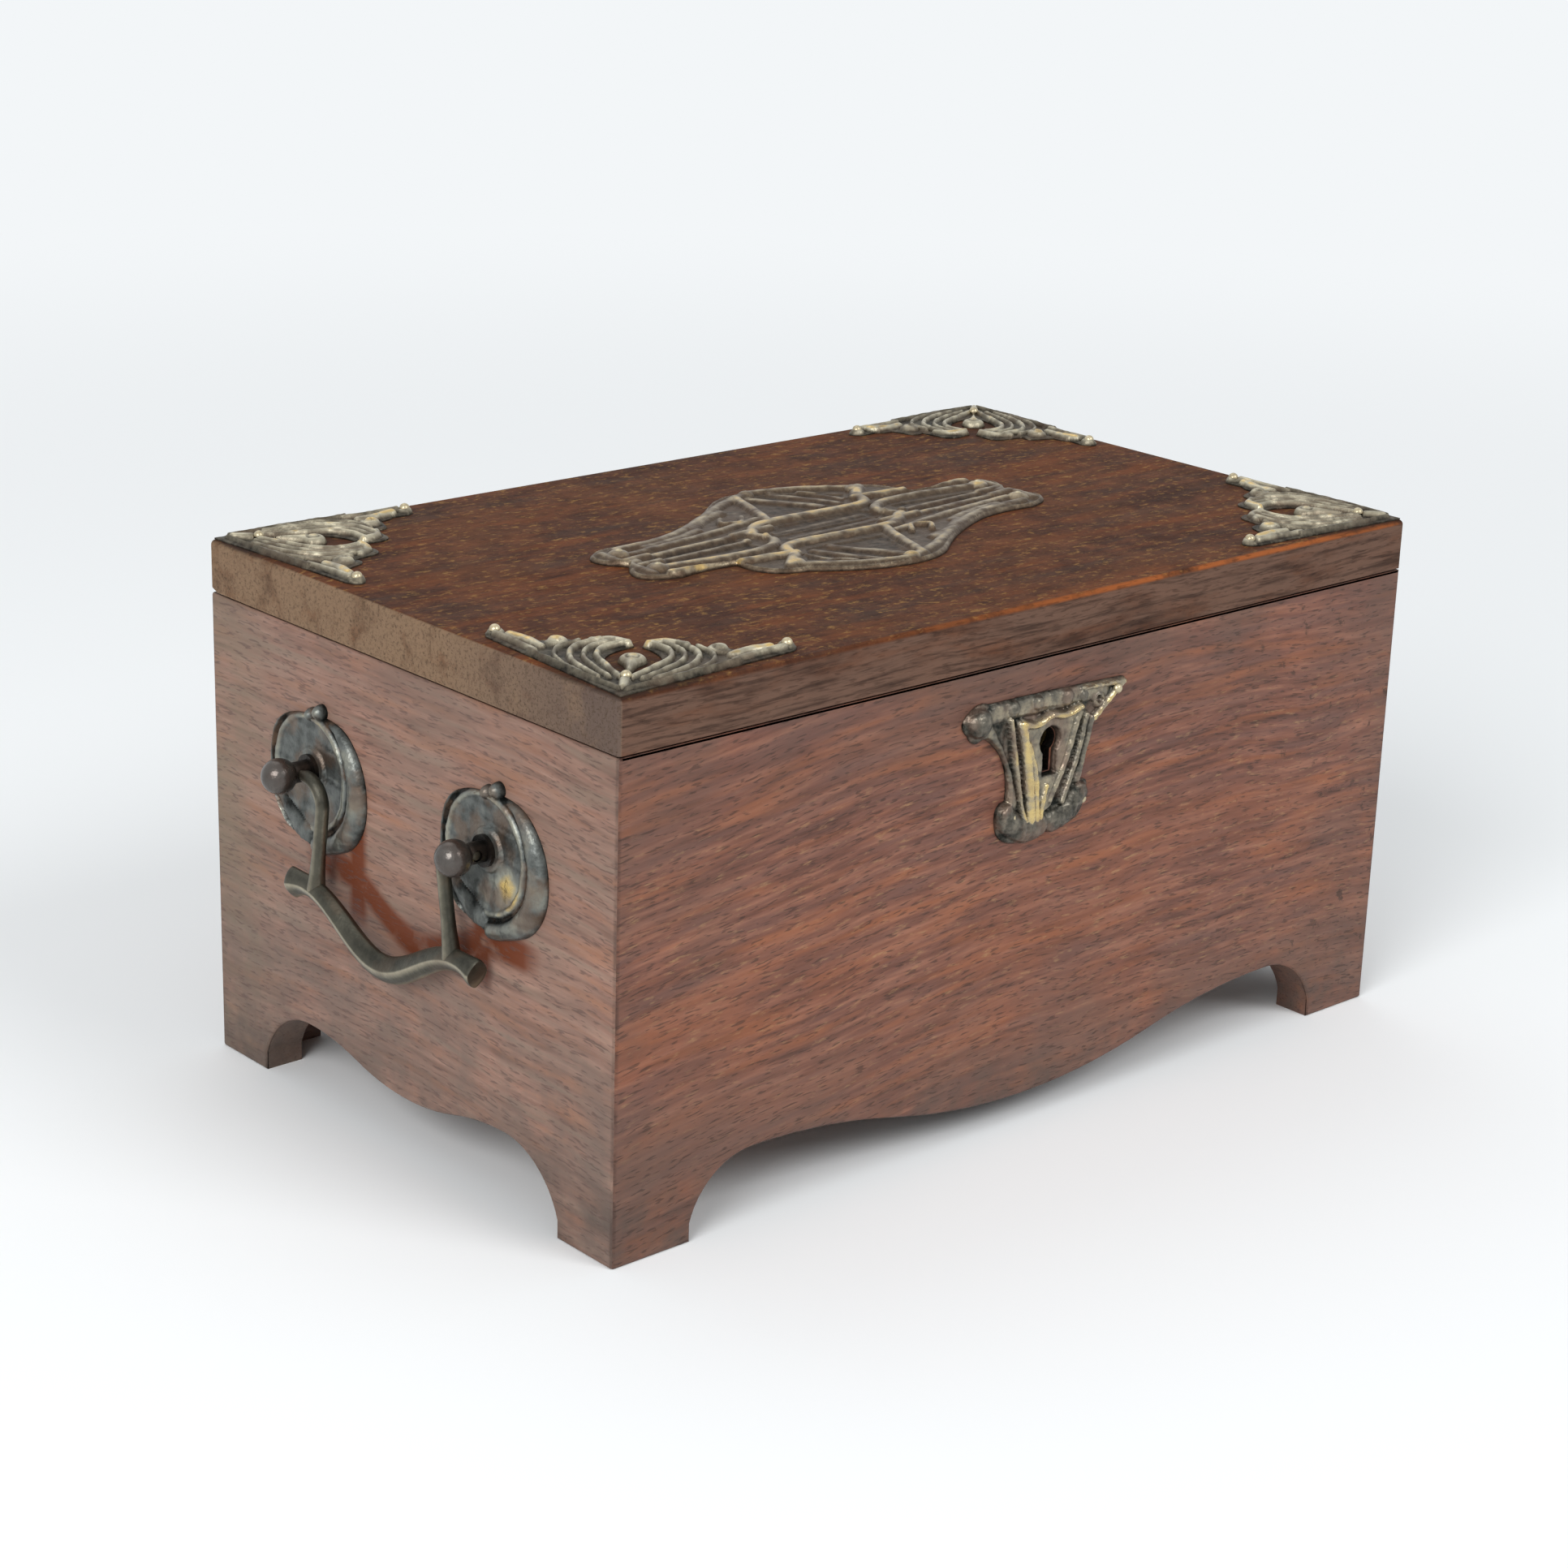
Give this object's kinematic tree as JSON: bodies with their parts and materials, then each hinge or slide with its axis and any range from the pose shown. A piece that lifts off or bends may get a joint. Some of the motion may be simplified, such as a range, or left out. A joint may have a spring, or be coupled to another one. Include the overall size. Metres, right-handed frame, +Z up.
{
  "type": "brass-mounted box",
  "caption": "Wooden box on bracket feet with a hinged flat lid, openwork brass lid mounts, a keyhole escutcheon over a sliding-bolt lock and a swinging bail handle at each end.",
  "frame": {"origin": "centre of the rectangle between the feet, on the floor", "axes": "+X along the front towards its right end, +Y from the front to the back, +Z up"},
  "size_m": [0.2606, 0.1478, 0.1228],
  "materials": {
    "case_wood": "worn varnish over open-pored reddish brown wood",
    "lid_wood": "worn varnish, rubbed edges",
    "inner_wood": "bare",
    "mount_brass": "dark patina rubbed bright on the ridges",
    "handle_brass": "grey-green patina",
    "hinge_brass": "dull",
    "lock_brass": "dull",
    "steel": "dull"
  },
  "bodies": {
    "case": {"front_board": "case_wood", "back_board": "case_wood", "left_end_board": "case_wood", "right_end_board": "case_wood", "floor_board": "inner_wood", "escutcheon": "mount_brass", "escutcheon_pins": "mount_brass", "left_plate_front": "handle_brass", "left_plate_back": "handle_brass", "left_post_front": "handle_brass", "left_post_back": "handle_brass", "left_nuts": "steel", "hinge_left_case_leaf": "hinge_brass", "hinge_left_pin": "steel", "right_plate_front": "handle_brass", "right_plate_back": "handle_brass", "right_post_front": "handle_brass", "right_post_back": "handle_brass", "right_nuts": "steel", "hinge_right_case_leaf": "hinge_brass", "hinge_right_pin": "steel", "hinge_case_screws": "steel", "lock_screws": "steel", "lock_plate": "lock_brass", "lock_cover": "lock_brass", "key_post": "lock_brass", "bolt_studs": "lock_brass"},
    "lid": {"lid_board": "lid_wood", "corner_mount_front_left": "mount_brass", "corner_mount_front_right": "mount_brass", "corner_mount_back_right": "mount_brass", "corner_mount_back_left": "mount_brass", "centre_mount": "mount_brass", "mount_pins": "mount_brass", "hinge_left_lid_leaf": "hinge_brass", "hinge_right_lid_leaf": "hinge_brass", "hinge_lid_screws": "steel", "link_plate": "lock_brass", "link_screws": "steel"},
    "left_bail": {"left_bail": "handle_brass"},
    "right_bail": {"right_bail": "handle_brass"},
    "bolt": {"lock_bolt": "steel"}
  },
  "joints": [
    {"name": "lid_hinge", "type": "hinge", "parent": "case", "child": "lid", "pos_m": [0, 0.07165, 0.1082], "axis": [-1, 0, 0], "range_deg": [0, 180]},
    {"name": "left_bail_swing", "type": "hinge", "parent": "case", "child": "left_bail", "pos_m": [-0.122, 0, 0.0782], "axis": [0, 1, 0], "range_deg": [-3, 180]},
    {"name": "right_bail_swing", "type": "hinge", "parent": "case", "child": "right_bail", "pos_m": [0.122, 0, 0.0782], "axis": [0, -1, 0], "range_deg": [-3, 180]},
    {"name": "bolt_slide", "type": "slide", "parent": "case", "child": "bolt", "axis": [1, 0, 0], "range_m": [0, 0.0044]}
  ]
}
